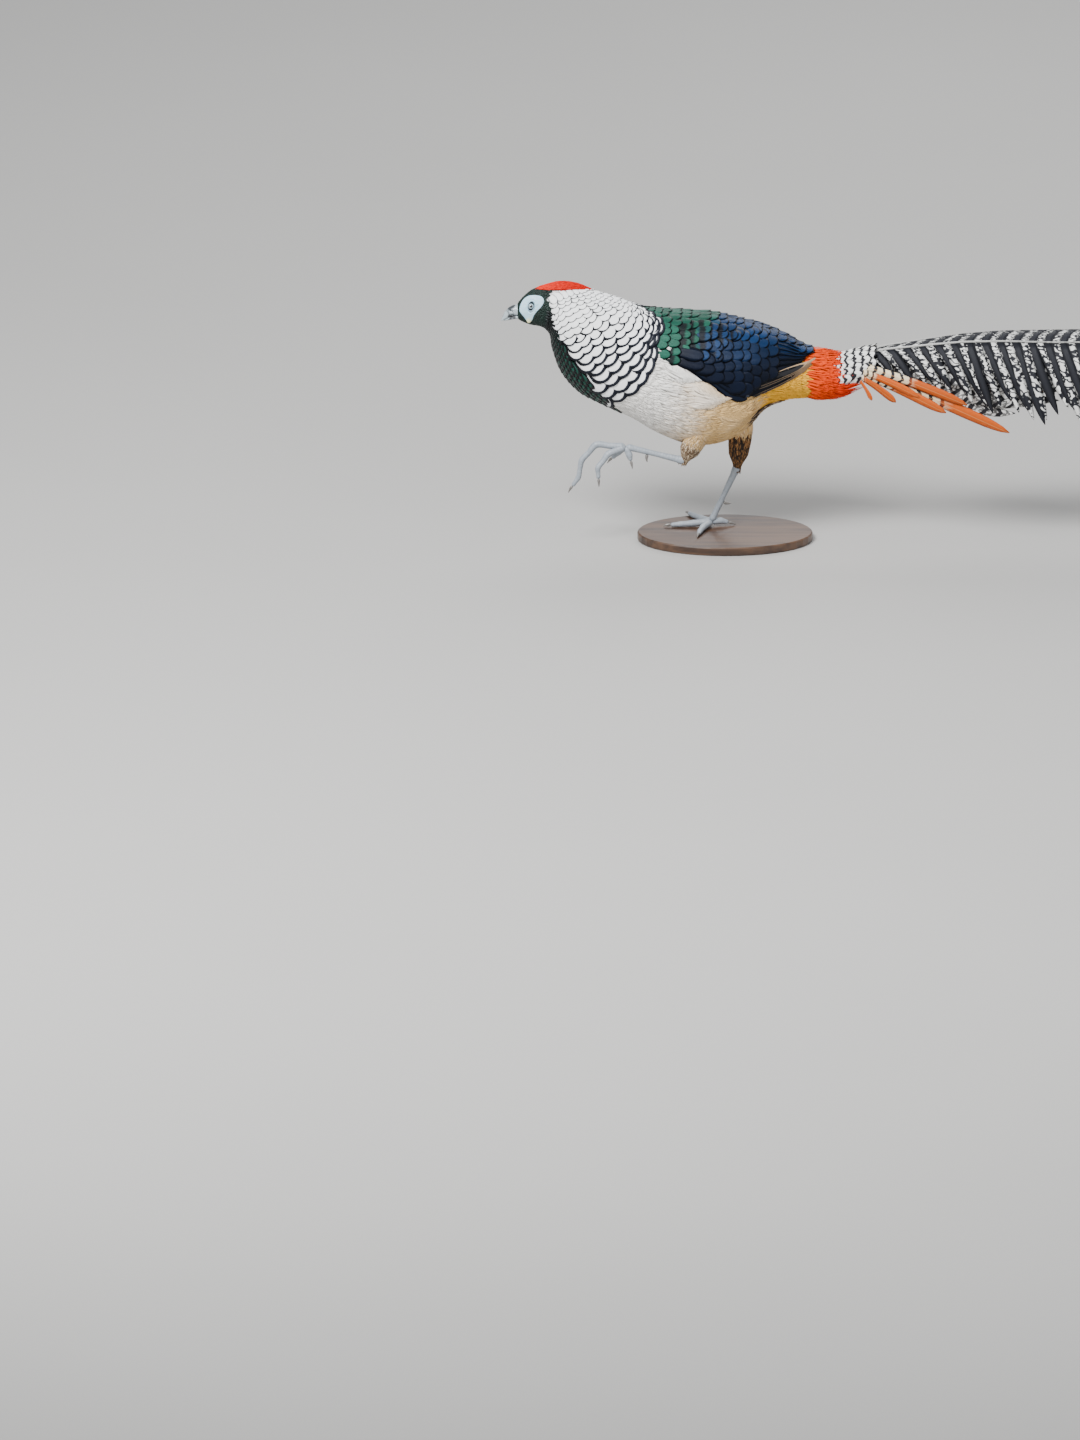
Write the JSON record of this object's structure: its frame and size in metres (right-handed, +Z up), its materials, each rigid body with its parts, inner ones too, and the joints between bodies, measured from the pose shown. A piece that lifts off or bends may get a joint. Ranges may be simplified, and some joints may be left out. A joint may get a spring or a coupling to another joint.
{
  "type": "lady amhersts pheasant",
  "caption": "Life-size male Lady Amherst's pheasant in mid stride, one foot down and one raised, with cape, crest and long vaulted barred tail, on an oval stand.",
  "frame": {"origin": "centre of the oval stand's underside, on the floor", "axes": "+X from the bill towards the tip of the tail, so the bird faces -X; +Y towards the bird's right side; +Z up"},
  "size_m": [1.3071, 0.1619, 0.3677],
  "materials": {
    "cap": "dense short feathers, dark green-black with a slight gloss",
    "face_skin": "bare pale blue-white skin, matt and finely wrinkled",
    "eye": "wet gloss, pale iris round a black pupil",
    "bill": "horn, satin, pale grey with darker blotches",
    "crest": "narrow hair-like feathers, bright orange-red, satin",
    "cape": "rounded feathers, white with blue-black edges, satin",
    "belly": "soft body feathers, white to buff, dark green scaled feathers on the back",
    "wing": "firm feathers, deep metallic blue, glossy",
    "rump": "loose feathers, golden yellow below and orange-red behind",
    "tail": "long stiff feathers, white with black bars and fine wavy lines",
    "shin": "short mottled brown feathers, matt",
    "scale": "blue-grey scaled skin, satin",
    "claw": "dark horn, satin",
    "stand": "dark stained wood, satin"
  },
  "bodies": {
    "root": {"bill_lower": "bill", "bill_upper": "bill", "claw_left_1": "claw", "claw_left_2": "claw", "claw_left_3": "claw", "claw_left_4": "claw", "claw_right_1": "claw", "claw_right_2": "claw", "claw_right_3": "claw", "claw_right_4": "claw", "coverts_left": "rump", "coverts_right": "rump", "crest": "crest", "eye_left": "eye", "eye_right": "eye", "face_left": "face_skin", "face_right": "face_skin", "foot_left": "scale", "foot_right": "scale", "head": "cap", "neck": "cape", "rump": "rump", "shank_left": "scale", "shank_right": "scale", "spur_left": "claw", "spur_right": "claw", "stand_base": "stand", "tail_left": "tail", "tail_right": "tail", "thigh_left": "shin", "thigh_right": "shin", "torso": "belly", "wing_left": "wing", "wing_right": "wing"}
  },
  "joints": []
}
